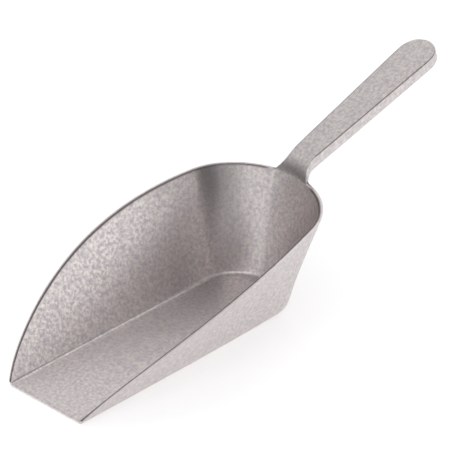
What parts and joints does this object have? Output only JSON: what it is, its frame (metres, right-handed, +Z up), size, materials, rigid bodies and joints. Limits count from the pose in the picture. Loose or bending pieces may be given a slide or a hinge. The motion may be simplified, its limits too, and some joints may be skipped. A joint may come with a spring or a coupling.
{
  "type": "ice scoop",
  "caption": "One-hand cast aluminium ice scoop with a flat-floored, round-backed bowl, an open square mouth and a rising tongue handle.",
  "frame": {"origin": "on the underside of the flat floor, halfway along it and on its centre line", "axes": "+X from the mouth towards the handle, +Z up from the floor, +Y to the left of someone looking from the mouth to the handle; the part is symmetric about the XZ plane"},
  "size_m": [0.3165, 0.117, 0.1127],
  "materials": {
    "tumbled_aluminium": "satin tumbled casting, fine grain",
    "handle_aluminium": "satin tumbled casting, worn a little smoother by the hand",
    "weld_aluminium": "satin, dressed and tumbled with the bowl"
  },
  "bodies": {
    "root": {"bowl": "tumbled_aluminium", "handle": "handle_aluminium", "neck_weld": "weld_aluminium"}
  },
  "joints": []
}
